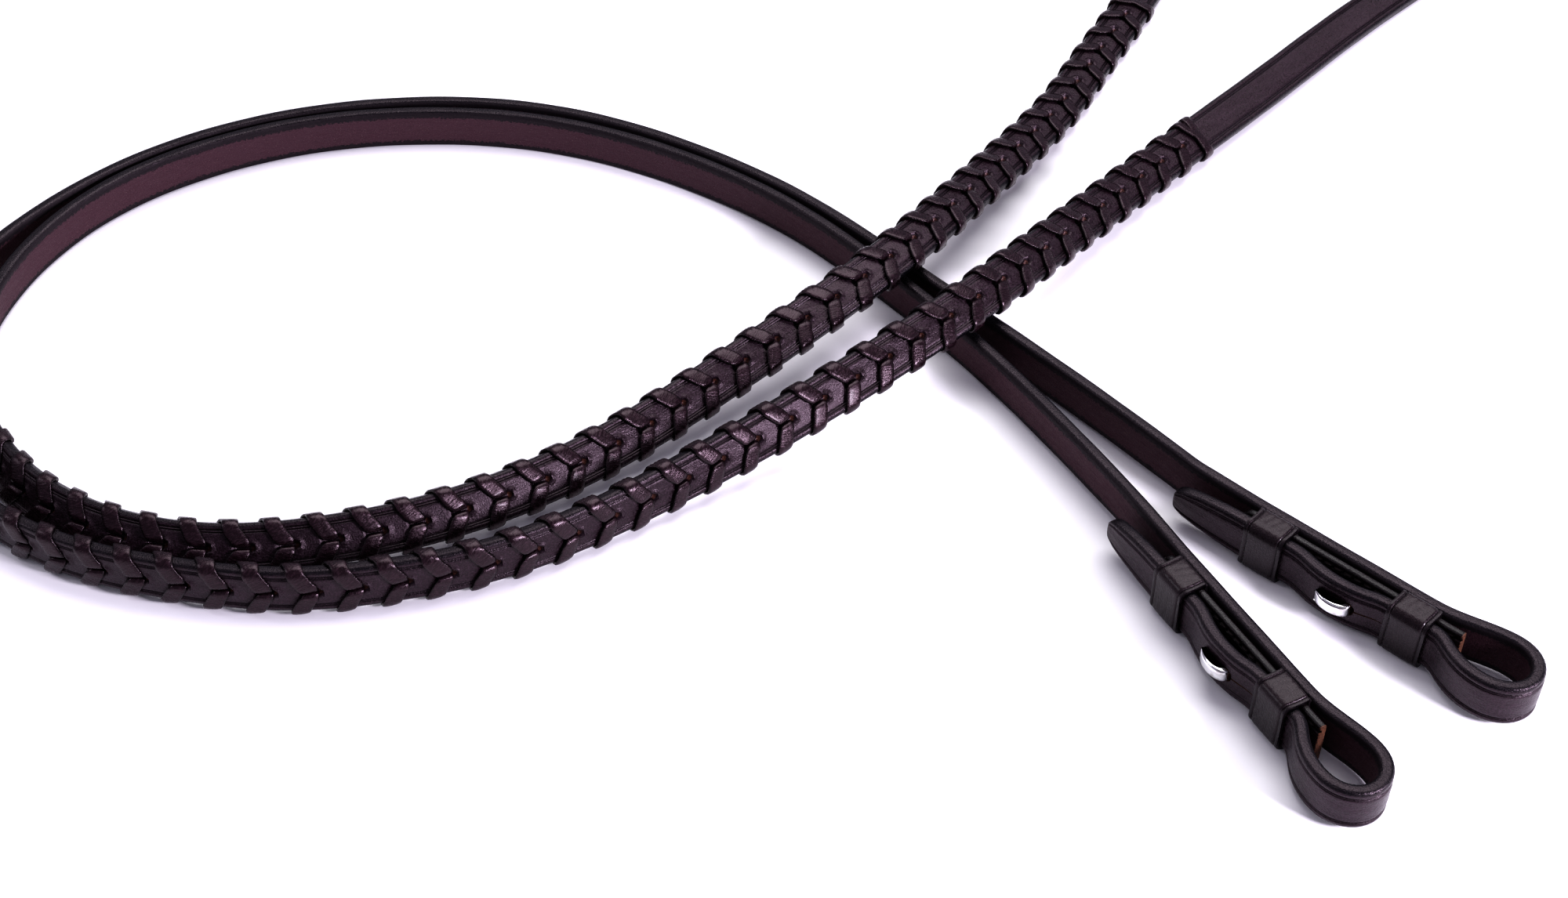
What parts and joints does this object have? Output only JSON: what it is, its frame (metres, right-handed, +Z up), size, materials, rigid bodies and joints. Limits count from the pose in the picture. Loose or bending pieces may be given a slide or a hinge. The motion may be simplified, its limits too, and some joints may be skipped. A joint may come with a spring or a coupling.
{
  "type": "pair of laced leather reins",
  "caption": "Pair of laced leather bridle reins with hook-stud bit loops, keepers, a plain pointed half and a half with a hinged buckle, laid in a loop.",
  "frame": {"origin": "centre of the bounding box at the surface that the reins lie on", "axes": "+Z up from that surface, +X towards the bit loops' side, +Y towards the free ends"},
  "size_m": [0.6465, 0.6198, 0.0313],
  "materials": {
    "strap_leather": "dark brown bridle leather, waxed, satin",
    "lace_leather": "dark brown lacing thong, semi-gloss",
    "lining_leather": "dark brown leather with a raw tan cut end",
    "keeper_leather": "dark brown creased leather, satin",
    "thread": "waxed dark thread",
    "nickel": "polished nickel"
  },
  "bodies": {
    "reins": {"rein_strap_left": "strap_leather", "rein_strap_right": "strap_leather", "lace_left": "lace_leather", "lace_right": "lace_leather", "bit_lining_left": "lining_leather", "bit_lining_right": "lining_leather", "hook_stud_left": "nickel", "hook_stud_right": "nickel", "keeper_tip_left": "keeper_leather", "keeper_tip_right": "keeper_leather", "keeper_loop_left": "keeper_leather", "keeper_loop_right": "keeper_leather", "seam_upper_left": "thread", "seam_lower_left": "thread", "seam_upper_right": "thread", "seam_lower_right": "thread", "buckle_keeper": "keeper_leather", "chape_seam_a": "thread", "chape_seam_b": "thread"},
    "buckle_hoop": {"buckle_frame": "nickel"},
    "buckle_pin": {"buckle_tongue": "nickel"}
  },
  "joints": [
    {"name": "buckle_hinge", "type": "hinge", "parent": "reins", "child": "buckle_hoop", "pos_m": [0.21089, 0.28465, 0.00495], "axis": [0.8882, -0.4594, 0], "range_deg": [0, 60]},
    {"name": "tongue_hinge", "type": "hinge", "parent": "buckle_hoop", "child": "buckle_pin", "pos_m": [0.21089, 0.28465, 0.00495], "axis": [0.8882, -0.4594, 0], "range_deg": [0, 75]}
  ]
}
